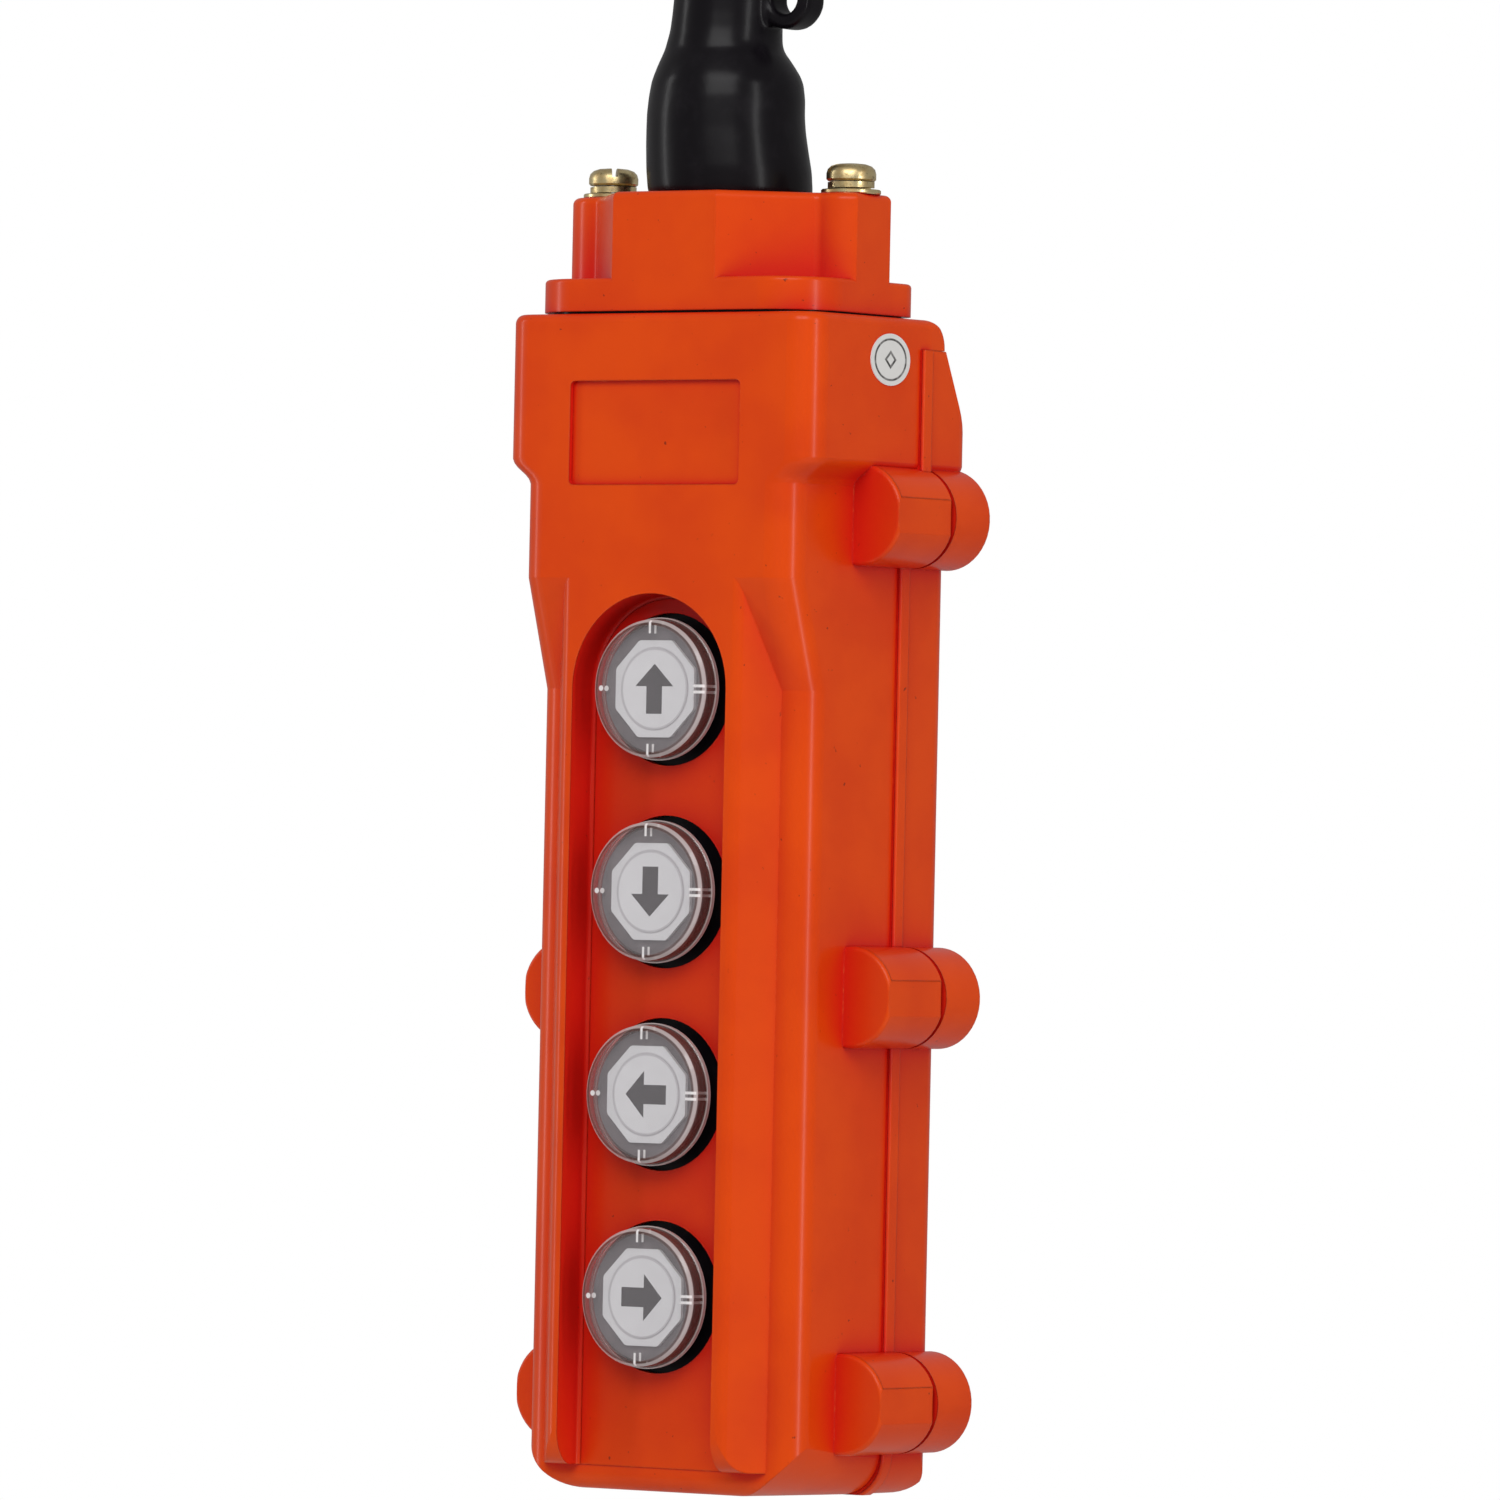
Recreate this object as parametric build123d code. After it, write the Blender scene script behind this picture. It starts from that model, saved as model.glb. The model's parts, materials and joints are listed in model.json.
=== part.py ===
from build123d import *
import os

# Pendant control station: a hand-held enclosure that hangs from its cable.
# Millimetres. X is to the right, Y goes back from the front face, Z is up.
# Z = 0 is the enclosure's bottom while it is built; the written parts are
# moved so that the middle of the cable boot's mouth is the origin.

# ---- buttons -------------------------------------------------------------
directions = ["right", "left", "down", "up"]   # lowest button first
pitch = 39.7                 # button spacing
first_button_z = 38.25       # lowest button above the bottom
travel = 4.0                 # how far a button goes in
top_button_z = first_button_z + pitch * (len(directions) - 1)

# ---- enclosure -----------------------------------------------------------
body_half_front = 32.8       # half width at the front plane, grip part
head_overhang = 4.5          # the head is this much wider on each side
head_half_front = body_half_front + head_overhang
side_draft = 1.2             # how much each side widens back to the parting
parting_y = 39.0
back_y = 53.0
corner_radius = 6.0          # upright front corners
foot_corner_radius = 8.0     # bottom corners at the parting, seen from the front
front_foot_radius = 16.0     # the same corners at the front, which are rounder
wall = 3.2
head_top = top_button_z + 73.65
cover_top = head_top - 6.0   # the hood of the front shell closes over this
shoulder_low = top_button_z + 40.25
shoulder_high = top_button_z + 45.25
hood_depth = 4.5             # how far the hood reaches past the parting
hood_radius = 5.5
head_edge_radius = 1.8
bead_depth = 3.0
bead_proud = 0.9

# ---- front face ----------------------------------------------------------
deck_y = 7.2                 # step outside the rails
floor_y = 7.0                # bottom of the button recess
floor_thickness = 3.0
slope_height = 21.75         # the front slopes back to the deck over this
cap_rim_radius = 14.0        # widest part of a button
button_hole_radius = cap_rim_radius + 1.0
recess_half = button_hole_radius + 3.65   # half width and arch radius of the recess
rail_top_half = recess_half + 2.35   # the rail's flat front ends here, before its rounding
rail_foot_half = rail_top_half + 6.0
rail_radius = 3.0
rail_bottom = 4.8
recess_edge_radius = 0.8     # rail and arch edges round the recess
rail_nose_height = 7.0
rail_nose_depth = 4.7
foot_round = 3.4
label_width = 41.2
label_height = 20.4
label_depth = 1.0
label_z = top_button_z + 50.15
sticker_width = 12.7
sticker_height = 10.2
sticker_thickness = 0.15
sticker_y = 25.6
sticker_z = top_button_z + 65.25

# ---- cover screws --------------------------------------------------------
boss_x = body_half_front + 2.2
boss_radius = 10.0
boss_front_y = 20.8
boss_back_y = 51.5
boss_flat_height = 7.0       # flat on the outer side of the front half
boss_heights = [first_button_z - 20.0, (first_button_z + top_button_z) / 2, top_button_z + 34.75]
gasket_thickness = 1.0
gasket_inset = 0.9
screw_radius = 1.95          # M4 with room to turn
screw_clearance = 0.3
insert_radius = 2.9
insert_length = 8.0
insert_bore = 2.0
head_radius = 3.6
head_height = 2.6
counterbore_radius = 4.2
screw_seat_y = 46.5
slot_width = 1.0
slot_depth = 1.2

# ---- top cap -------------------------------------------------------------
cable_y = 23.75              # cable axis behind the front plane
cap_gasket_thickness = 0.5
cap_gasket_inset = 1.8
flange_half = head_half_front - 2.6
flange_front = 1.8
flange_back = 40.5
flange_height = 6.5
flange_front_radius = 12.0
flange_back_radius = 5.0
block_height = 17.0
block_face_half = 12.5       # flat front of the cap's block
ear_x = flange_half - 5.7
ear_y = 24.0
ear_radius = 8.0
ear_blend = 2.0
cap_edge_radius = 1.4
cap_roof = 5.0
wire_hole_radius = 12.0
flat_washer_radius = 6.0
flat_washer_thickness = 1.0
spring_washer_radius = 4.75
spring_washer_thickness = 1.3
spring_washer_gap = 0.9
cap_screw_head_radius = 5.2
cap_screw_head_height = 3.5
cap_slot_angles = {-1: 126.0, 1: 60.0}

# ---- cable boot ----------------------------------------------------------
boot_bore = 7.5              # grips the cable
boot_neck_radius = boot_bore + 3.2
spigot_bore = boot_bore + 2.0
spigot_radius = spigot_bore + 2.4
spigot_height = 19.0
cap_hollow_radius = spigot_bore + 4.5
boot_base_radius = spigot_radius + 4.1
boot_height = 53.0
shoulder_start = 20.0        # the boot's body ends here
neck_start = 33.0
eye_bore = 3.0
eye_x = boot_neck_radius + eye_bore + 0.3
eye_height = 38.6
eye_outer_radius = eye_bore + 3.0
eye_thickness = 7.0

# ---- button parts --------------------------------------------------------
seat_gap = 0.05              # between round pieces seated in one another
cap_front_radius = cap_rim_radius - 0.5
cap_depth = 4.2
cap_window = 1.8
cap_skirt = 1.3
cap_bevel = 0.6
legend_flats = 19.0
legend_corner = 1.2
legend_thickness = 0.75
legend_disc_radius = 8.0
legend_disc_height = 0.15
legend_gap = 0.05            # under the window
arrow_length = 9.8
arrow_head_width = 9.2
arrow_head_length = 4.4
arrow_shaft_width = 3.8
arrow_inset = 0.4
stem_radius = 6.0
guide_clearance = 0.06
rod_radius = 1.9
stem_end_y = 23.0
rod_end_y = 31.0
seal_front_y = cap_depth + travel + 0.4
seal_bore_gap = 0.3
flange_radius = button_hole_radius + 2.5
seal_flange = 0.8
bush_flange = 2.4
bush_tube_radius = stem_radius + 2.5
bush_tube_end_y = 17.5
plate_thickness = 1.5
plate_half = 26.0
plate_margin = 22.0          # plate beyond the outer buttons
plate_screw_x = 23.0
plate_screw_radius = 1.25
plate_screw_head = (2.8, 2.0)  # radius and height
plate_screw_depth = 1.0      # how far the screws go in past the front wall's back
pillar_radius = 4.0
block_half_x = 14.5
block_half_z = 11.0
block_wall = 2.0
block_back_y = 38.5
bridge_half = 11.0
bridge_width = 5.0
bridge_thickness = 0.8
contact_x = 9.0
contact_radius = 1.8
contact_thickness = 0.7
contact_gap = travel + 0.2
strip_thickness = 0.8
strip_inner_x = 7.0
shelf_half_x = 22.0
shelf_half_z = 4.0
shelf_front_y = 20.0
terminal_x = 18.3
terminal_radius = 1.45
terminal_head_radius = 2.9
terminal_head_height = 2.2
spring_radius = 3.0
spring_wire = 0.4
spring_turns = 5

# ---- worked out ----------------------------------------------------------
floor_back = floor_y + floor_thickness
bush_y = floor_back + seal_flange
plate_y = bush_y + bush_flange
block_y = plate_y + plate_thickness
bridge_back = stem_end_y + bridge_thickness
strip_y = bridge_back + contact_thickness + contact_gap + contact_thickness
strip_back = strip_y + strip_thickness
shell_back = parting_y - gasket_thickness / 2
cover_front = parting_y + gasket_thickness / 2
flange_z = head_top + cap_gasket_thickness
block_z = flange_z + flange_height
cap_top = block_z + block_height
mouth_z = cap_top + boot_height
button_heights = [first_button_z + pitch * i for i in range(len(directions))]
sides = (-1, 1)
beyond = 60.0                # a cut this far out clears the enclosure's sides
back_corner_radius = 4.0
inner_corner_radius = 3.0
boss_edge_radius = 0.8

os.makedirs("parts", exist_ok=True)


def write(name, *solids):
    """Write one node, with the cable boot's mouth at the origin."""
    placed = [Pos(0, -cable_y, -mouth_z) * solid for solid in solids]
    shape = placed[0] if len(placed) == 1 else Compound(children=placed)
    export_step(shape, f"parts/{name}.step")


def slab(sketch, front, back):
    """A front-view sketch (x, z) made solid from y = front to y = back."""
    return extrude(Plane.XZ.offset(-front) * sketch, amount=front - back)


def disc(radius, front, back, x=0.0, z=0.0):
    return slab(Pos(x, z) * Circle(radius), front, back)


def upright(sketch, low, high):
    """A plan sketch (x, y) made solid from z = low to z = high."""
    return extrude(Plane.XY.offset(low) * sketch, amount=high - low)


def spun(points):
    """Solid of revolution about the y axis from (radius, y) points."""
    return revolve(make_face(Polyline(*points, close=True)), Axis.Y)


def across(sketch):
    """A side-view sketch (y, z) made solid right across the enclosure."""
    return extrude(Plane.YZ * sketch, amount=beyond, both=True)


def slotted_head(radius, height, angle=0.0):
    """Pan head on the XY plane with its slot, standing along +Z."""
    head = fillet(Cylinder(radius, height, align=(Align.CENTER, Align.CENTER, Align.MIN))
                  .edges().group_by(Axis.Z)[-1], height * 0.35)
    slot = Pos(0, 0, height) * Box(3 * radius, slot_width, 2 * slot_depth)
    return head - Rot(0, 0, angle) * slot


def screw_along_y(x, z, seat, tip, shank, radius, height):
    """Screw driven from the back: its head stands on y = seat, its tip points forward."""
    head = Pos(x, seat, z) * Rot(-90, 0, 0) * slotted_head(radius, height)
    return head + disc(shank, tip, seat, x, z)


# ---- enclosure sections --------------------------------------------------
def half_at(half_front, y):
    """Half width at depth y, with the side's draft."""
    return half_front + side_draft * y / parting_y


def front_section(front, half_front, radius, inset=0.0, back=shell_back):
    """Plan section of the front shell, open corners rounded at the front."""
    near = half_at(half_front, front) - inset
    far = half_at(half_front, back) - inset
    points = [(-near, front), (near, front), (far, back), (-far, back)]
    face = make_face(Polyline(*points, close=True))
    return fillet(face.vertices().group_by(Axis.Y)[0], radius)


def back_section(half_front, radius, inset=0.0, front=cover_front, back=back_y):
    """Plan section of the back cover, rounded at the back."""
    half = half_at(half_front, parting_y) - inset
    points = [(-half, front), (half, front), (half, back), (-half, back)]
    face = make_face(Polyline(*points, close=True))
    return fillet(face.vertices().group_by(Axis.Y)[-1], radius)


def between(sections):
    """Solid through plan sections given as (z, sketch) pairs."""
    return loft([Plane.XY.offset(z) * sketch for z, sketch in sections])


def front_outline(inset=0.0, top=cover_top):
    """Front-view outline of the enclosure at the parting, less an inset."""
    body = half_at(body_half_front, parting_y) - inset
    head = half_at(head_half_front, parting_y) - inset
    step = (shoulder_low + shoulder_high) / 2 + inset
    right = [(body, inset), (body, step), (head, step), (head, top - inset)]
    points = right + [(-x, z) for x, z in reversed(right)]
    face = make_face(Polyline(*points, close=True))
    feet = face.vertices().group_by(Axis.Y)[0]
    face = fillet(feet, foot_corner_radius - inset)
    shoulder = [v for v in face.vertices() if abs(v.Y - step) < 0.01]
    return fillet(shoulder, (head - body) * 0.45)


def foot_outline(radius, inset):
    """Front view of everything allowed near the foot, with bottom corners of this radius."""
    half = half_at(body_half_front, parting_y) - inset
    foot = Pos(0, inset + mouth_z / 2) * Rectangle(2 * half, mouth_z)
    return fillet(foot.vertices().group_by(Axis.Y)[0], radius - inset)


def foot_limits(inset=0.0):
    """Everything inside the bottom corners, which are rounder towards the front."""
    at_deck = Plane.XZ.offset(-deck_y) * foot_outline(front_foot_radius, inset)
    at_parting = Plane.XZ.offset(-parting_y) * foot_outline(foot_corner_radius, inset)
    limits = extrude(at_deck, amount=deck_y + 1)
    limits += loft([at_deck, at_parting])
    limits += extrude(at_parting, amount=parting_y - back_y - 1)
    above = Pos(0, back_y / 2, mouth_z / 2 + 3 * foot_corner_radius)
    return limits + above * Box(2 * beyond, 2 * back_y, mouth_z)


def cover_screw_places():
    return [(side * boss_x, z) for z in boss_heights for side in sides]


def plate_screw_places():
    heights = [first_button_z + pitch / 2, top_button_z - pitch / 2]
    return [(side * plate_screw_x, z) for z in heights for side in sides]


# ---- front shell ---------------------------------------------------------
def rails():
    """Two rails beside the buttons, before the recess is cut between them."""
    foot = deck_y + 1.0
    run = rail_foot_half - rail_top_half
    reach = rail_foot_half + run * (foot - deck_y) / deck_y
    points = [(-rail_top_half, 0), (rail_top_half, 0), (reach, foot), (-reach, foot)]
    face = make_face(Polyline(*points, close=True))
    face = fillet(face.vertices().group_by(Axis.Y)[0], rail_radius)
    return upright(face, rail_bottom, top_button_z + slope_height)


def front_shell_outside():
    deck = front_section(deck_y, body_half_front, corner_radius)
    neck = front_section(0, body_half_front, corner_radius)
    head = front_section(0, head_half_front, corner_radius)
    slope_top = top_button_z + slope_height
    body = upright(deck, 0, top_button_z)
    foot_edge = body.edges().filter_by(Axis.X).group_by(Axis.Z)[0].group_by(Axis.Y)[0]
    body = fillet(foot_edge, foot_round)
    body += between([(top_button_z, deck), (slope_top, neck)])
    body += upright(neck, slope_top, shoulder_low)
    body += between(shoulder_sections(front_section_at))
    body += upright(head, shoulder_high, cover_top + 1)
    body += rails() & across(rail_side_view())
    body += roof()
    body &= foot_limits()
    return body + rim_bead()


def front_section_at(half_front):
    return front_section(0, half_front, corner_radius)


def back_section_at(half_front):
    return back_section(half_front, back_corner_radius)


def shoulder_sections(section):
    """Sections that swell smoothly from the grip's width to the head's."""
    steps = 4
    found = []
    for i in range(steps + 1):
        share = i / steps
        eased = share * share * (3 - 2 * share)
        half = body_half_front + (head_half_front - body_half_front) * eased
        found.append((shoulder_low + (shoulder_high - shoulder_low) * share, section(half)))
    return found


def rail_side_view():
    """Side view of the rails: square behind, nosed at the lower front."""
    top = top_button_z + slope_height + 1
    nose_top = rail_bottom + rail_nose_height
    back = deck_y + 2
    outline = Line((0, top), (0, nose_top))
    outline += EllipticalCenterArc((rail_nose_depth, nose_top), rail_nose_depth,
                                   rail_nose_height, start_angle=180, arc_size=90)
    outline += Polyline((rail_nose_depth, rail_bottom), (back, rail_bottom), (back, top), (0, top))
    return make_face(outline)


def roof():
    """Top of the front shell, reaching back over the back cover."""
    near = half_at(head_half_front, 0)
    far = half_at(head_half_front, parting_y)
    deep = parting_y + hood_depth
    low = cover_top + seat_gap
    right = [(near, 0), (far, parting_y), (far, deep)]
    left = [(-x, y) for x, y in reversed(right)]
    plan = make_face(Polyline(*right, *left, close=True))
    plan = fillet(plan.vertices().group_by(Axis.Y)[0], corner_radius)
    body = upright(plan, low, head_top)
    rim = [edge for edge in body.edges().group_by(Axis.Z)[-1] if edge.center().Y < deep - 0.01]
    body = fillet(rim, head_edge_radius)
    side = Pos(0, (low + head_top) / 2) * Rectangle(2 * deep, head_top - low)
    corner = side.vertices().group_by(Axis.X)[-1].sort_by(Axis.Y)[-1]
    return body & across(fillet(corner, hood_radius))


def rim_bead():
    """Low band round the rim up to the hood, flush at the bottom."""
    band = slab(front_outline(-bead_proud, cover_top - bead_proud), shell_back - bead_depth, shell_back)
    rims = [edge for edge in band.edges() if edge.center().Z < cover_top - bead_proud]
    front = [edge for edge in rims if abs(edge.center().Y - shell_back + bead_depth) < 0.01]
    band = fillet(front, bead_proud * 0.6)
    return band & Pos(0, parting_y, mouth_z / 2) * Box(2 * beyond, 2 * parting_y, mouth_z)


def front_shell():
    body = front_shell_outside()
    flat = (boss_radius ** 2 - boss_flat_height ** 2 / 4) ** 0.5
    for x, z in cover_screw_places():
        side = 1 if x > 0 else -1
        boss = disc(boss_radius, boss_front_y, shell_back, x, z)
        boss = fillet(boss.edges().group_by(Axis.Y)[0], boss_edge_radius)
        trim = Pos(x - side * (beyond - flat) / 2, parting_y / 2, z)
        body += boss & (trim * Box(beyond + flat, parting_y, 4 * boss_radius))
    for front, half_front, low in ((floor_back, body_half_front, 0),
                                   (wall, body_half_front, top_button_z + slope_height),
                                   (wall, head_half_front, shoulder_high)):
        section = front_section(front, half_front, inner_corner_radius, wall, parting_y)
        body -= upright(section, low + wall, cover_top - wall) & foot_limits(wall)
    for x, z in plate_screw_places():
        body += disc(pillar_radius, floor_back - 1, plate_y, x, z)
        body -= disc(plate_screw_radius + seat_gap, floor_back - 1.4, plate_y, x, z)
    arch = Pos(0, top_button_z) * Circle(recess_half)
    channel = Pos(0, top_button_z / 2 - 5) * Rectangle(2 * recess_half, top_button_z + 10)
    recess = slab(arch + channel, -1, floor_y)
    body -= fillet(recess.edges().group_by(Axis.Y)[-1], recess_edge_radius)
    for z in button_heights:
        body -= disc(button_hole_radius, 0, floor_back + 1, 0, z)
    label = fillet(Rectangle(label_width, label_height).vertices(), 1.0)
    body -= slab(Pos(0, label_z) * label, -1, label_depth)
    for x, z in cover_screw_places():
        body -= disc(insert_radius + seat_gap, shell_back - insert_length, shell_back, x, z)
        body -= disc(insert_bore, shell_back - insert_length - 4, shell_back, x, z)
    body -= Pos(0, cable_y, cover_top) * Cylinder(wire_hole_radius, 40)
    for side in sides:
        hole = Pos(side * ear_x, ear_y, head_top)
        body -= hole * Cylinder(insert_radius + seat_gap, 2 * insert_length)
    return body


# ---- back cover ----------------------------------------------------------
def back_side_view(inset=0.0):
    """Side view of the back: flat, and sloping in behind the head."""
    near = cover_front - 1
    far = back_y - inset
    slope_foot = shoulder_high + 3 - inset / 2
    points = [(near, inset), (far, inset), (far, slope_foot),
              (parting_y + 5 - inset, cover_top - inset), (near, cover_top - inset)]
    face = make_face(Polyline(*points, close=True))
    foot = face.vertices().group_by(Axis.X)[-1].sort_by(Axis.Y)[0]
    return fillet(foot, back_corner_radius - inset)


def back_cover():
    body = upright(back_section_at(body_half_front), 0, shoulder_low)
    body += between(shoulder_sections(back_section_at))
    body += upright(back_section_at(head_half_front), shoulder_high, cover_top)
    body &= across(back_side_view())
    body &= foot_limits()
    for x, z in cover_screw_places():
        boss = disc(boss_radius, cover_front, boss_back_y, x, z)
        body += fillet(boss.edges().group_by(Axis.Y)[-1], boss_edge_radius)
    hollow = upright(back_section(body_half_front, 1.5, wall, parting_y - 1, back_y - wall),
                     wall, cover_top - wall)
    hollow += upright(back_section(head_half_front, 1.5, wall, parting_y - 1, back_y - wall),
                      shoulder_high + wall, cover_top - wall)
    body -= hollow & across(back_side_view(wall)) & foot_limits(wall)
    for x, z in cover_screw_places():
        body -= disc(screw_radius + screw_clearance, cover_front - 1, back_y, x, z)
        body -= disc(counterbore_radius, screw_seat_y, back_y + 1, x, z)
    return body


def shell_gasket():
    ring_sketch = front_outline(gasket_inset) - front_outline(wall)
    for x, z in cover_screw_places():
        ring_sketch -= Pos(x, z) * Circle(screw_radius + screw_clearance)
    return slab(ring_sketch, shell_back, cover_front)


def cover_screws():
    tip = shell_back - insert_length - 2
    return [screw_along_y(x, z, screw_seat_y, tip, screw_radius, head_radius, head_height)
            for x, z in cover_screw_places()]


def cover_screw_inserts():
    return [disc(insert_radius, shell_back - insert_length, shell_back, x, z)
            - disc(insert_bore, shell_back - insert_length, shell_back, x, z)
            for x, z in cover_screw_places()]


# ---- top cap -------------------------------------------------------------
def flange_sketch(inset=0.0):
    half = flange_half - inset
    front = flange_front + inset
    back = flange_back - inset
    sketch = Pos(0, (front + back) / 2) * Rectangle(2 * half, back - front)
    sketch = fillet(sketch.vertices().group_by(Axis.Y)[0], flange_front_radius - inset)
    return fillet(sketch.vertices().group_by(Axis.Y)[-1], flange_back_radius - inset)


def block_sketch():
    """Plan of the cap's block: flat front, slanted cheeks and two screw ears."""
    cheek = ear_x - 1.0
    slant_y = flange_front + cheek - block_face_half
    far_slant_y = 2 * ear_y - slant_y
    back_half = cheek - (flange_back - far_slant_y)
    right = [(block_face_half, flange_front), (cheek, slant_y),
             (cheek, far_slant_y), (back_half, flange_back)]
    left = [(-x, y) for x, y in reversed(right)]
    sketch = make_face(Polyline(*right, *left, close=True))
    for side in sides:
        sketch += Pos(side * ear_x, ear_y) * Circle(ear_radius)
    joins = [vertex for vertex in sketch.vertices() if on_ear(vertex)]
    sketch = fillet(joins, ear_blend)
    return sketch & Pos(0, ear_y) * Rectangle(2 * flange_half, 4 * ear_y)


def on_ear(vertex):
    """Whether a plan vertex lies on the round of an ear."""
    away = ((abs(vertex.X) - ear_x) ** 2 + (vertex.Y - ear_y) ** 2) ** 0.5
    return abs(away - ear_radius) < 0.01


def top_cap():
    flange = upright(flange_sketch(), flange_z, block_z)
    flange = fillet(flange.edges().group_by(Axis.Z)[-1], 0.8)
    block = upright(block_sketch(), block_z - 1, cap_top)
    block = fillet(block.edges().group_by(Axis.Z)[-1], cap_edge_radius)
    body = flange + block
    body += Pos(0, cable_y, cap_top + spigot_height / 2 - 1) * Cylinder(spigot_radius, spigot_height + 2)
    hollow = cap_top - cap_roof - flange_z
    body -= Pos(0, cable_y, flange_z + hollow / 2) * Cylinder(cap_hollow_radius, hollow)
    body -= Pos(0, cable_y, cap_top) * Cylinder(spigot_bore, 4 * spigot_height)
    for side in sides:
        body -= Pos(side * ear_x, ear_y, block_z) * Cylinder(screw_radius + screw_clearance, 80)
    return body


def cap_gasket():
    body = upright(flange_sketch(cap_gasket_inset), head_top, flange_z)
    body -= Pos(0, cable_y, head_top) * Cylinder(cap_hollow_radius, 4)
    for side in sides:
        body -= Pos(side * ear_x, ear_y, head_top) * Cylinder(screw_radius + screw_clearance, 4)
    return body


def at_ears(make):
    """The same small piece on each ear of the cap."""
    return [Pos(side * ear_x, ear_y, 0) * make(side) for side in sides]


def ring(outer, inner, low, high):
    return upright(Circle(outer) - Circle(inner), low, high)


def flat_washer(side):
    return ring(flat_washer_radius, screw_radius + 0.15, cap_top, cap_top + flat_washer_thickness)


def spring_washer(side):
    low = cap_top + flat_washer_thickness
    washer = ring(spring_washer_radius, screw_radius + 0.2, low, low + spring_washer_thickness)
    gap = Pos(0, -spring_washer_radius / 2, low) * Box(spring_washer_gap, spring_washer_radius, 4)
    return washer - Rot(0, 0, side * 40) * gap


def cap_screw(side):
    seat = cap_top + flat_washer_thickness + spring_washer_thickness
    head = slotted_head(cap_screw_head_radius, cap_screw_head_height, cap_slot_angles[side])
    tip = head_top - insert_length + 0.5
    return Pos(0, 0, seat) * head + upright(Circle(screw_radius), tip, seat)


def cap_insert(side):
    return ring(insert_radius, insert_bore, head_top - insert_length, head_top)


# ---- cable boot ----------------------------------------------------------
def cable_boot():
    """Rubber boot over the cap's spigot, with an eye for the strain wire."""
    crown = boot_base_radius - 0.8
    side = Spline((boot_base_radius, 0), (boot_base_radius + 0.1, 6.5), (crown, shoulder_start - 4))
    bend = Spline(side @ 1, (boot_base_radius - 1.6, shoulder_start + 3.5),
                  (boot_neck_radius + 1.7, shoulder_start + 9),
                  (boot_neck_radius, neck_start), tangents=[side % 1, Vector(0, 1, 0)])
    neck_top = boot_height - 1.2
    lip = JernArc((boot_neck_radius, neck_top), (0, 1), 1.2, 90)
    inside = Polyline(lip @ 1, (boot_bore, boot_height), (boot_bore, neck_start - 2),
                      (spigot_radius + seat_gap, spigot_height + 1),
                      (spigot_radius + seat_gap, 0), (boot_base_radius, 0))
    profile = make_face(side + bend + Line(bend @ 1, lip @ 0) + lip + inside)
    body = revolve(Plane.XZ * profile, Axis.Z)
    eye = Pos(eye_x, eye_height) * Circle(eye_outer_radius)
    eye += Pos(eye_x / 2, eye_height + eye_outer_radius / 4) * Rectangle(eye_x, 1.5 * eye_outer_radius)
    lug = slab(eye, -eye_thickness / 2, eye_thickness / 2)
    lug = fillet(lug.edges().filter_by(GeomType.CIRCLE), 1.2)
    body += lug - Cylinder(boot_bore + 1, 4 * boot_height)
    body -= disc(eye_bore, -beyond, beyond, eye_x, eye_height)
    return Pos(0, cable_y, cap_top) * body


# ---- buttons -------------------------------------------------------------
def clear_cap():
    inner = cap_rim_radius - cap_skirt
    return spun([(0, 0), (cap_front_radius - cap_bevel, 0), (cap_front_radius, cap_bevel),
                 (cap_front_radius + 0.2, cap_depth - 1.0), (cap_rim_radius, cap_depth - 0.8),
                 (cap_rim_radius, cap_depth), (inner, cap_depth), (inner - 0.2, cap_window),
                 (0, cap_window)])


def arrow_sketch():
    """Arrow pointing up, centred."""
    tip = arrow_length / 2
    neck = tip - arrow_head_length
    half_head = arrow_head_width / 2
    half_shaft = arrow_shaft_width / 2
    right = [(half_head, neck), (half_shaft, neck), (half_shaft, -tip)]
    left = [(-x, y) for x, y in reversed(right)]
    return make_face(Polyline((0, tip), *right, *left, close=True))


arrow_turns = {"up": 0, "left": 90, "down": 180, "right": -90}
legend_y = cap_window + legend_gap + legend_disc_height
stem_face_y = legend_y + legend_thickness


def arrow(direction):
    face_y = legend_y - legend_disc_height
    return slab(Rot(0, 0, arrow_turns[direction]) * arrow_sketch(), face_y, face_y + arrow_inset)


def legend(direction):
    """White octagon with a raised disc, and the arrow sunk in it."""
    octagon = RegularPolygon(legend_flats / 2, 8, major_radius=False, rotation=22.5)
    octagon = fillet(octagon.vertices(), legend_corner)
    body = slab(octagon, legend_y, stem_face_y)
    body += disc(legend_disc_radius, legend_y - legend_disc_height, legend_y)
    return body - arrow(direction)


def plunger():
    face_radius = cap_rim_radius - cap_skirt - 0.25
    return spun([(0, stem_face_y), (face_radius, stem_face_y), (face_radius, cap_depth),
                 (stem_radius, cap_depth), (stem_radius, stem_end_y), (rod_radius, stem_end_y),
                 (rod_radius, rod_end_y), (0, rod_end_y)])


def contact_bridge():
    bar = slab(Rectangle(2 * bridge_half, bridge_width), stem_end_y, bridge_back)
    for side in sides:
        bar += disc(contact_radius, bridge_back, bridge_back + contact_thickness, side * contact_x)
    return bar - disc(rod_radius + seat_gap, 0, rod_end_y)


def return_spring():
    low = bridge_back + spring_wire
    high = block_back_y - block_wall - spring_wire
    coil = Helix(pitch=(high - low) / spring_turns, height=high - low, radius=spring_radius)
    wire = Plane(origin=coil @ 0, z_dir=coil % 0) * Circle(spring_wire)
    spring = sweep(wire, path=coil, is_frenet=True)
    return Pos(0, low, 0) * Rot(-90, 0, 0) * spring


def seal():
    bore = stem_radius + seal_bore_gap
    plug = button_hole_radius - seat_gap
    return spun([(bore, seal_front_y), (plug, seal_front_y), (plug, floor_back),
                 (flange_radius, floor_back), (flange_radius, bush_y), (bore, bush_y)])


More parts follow.
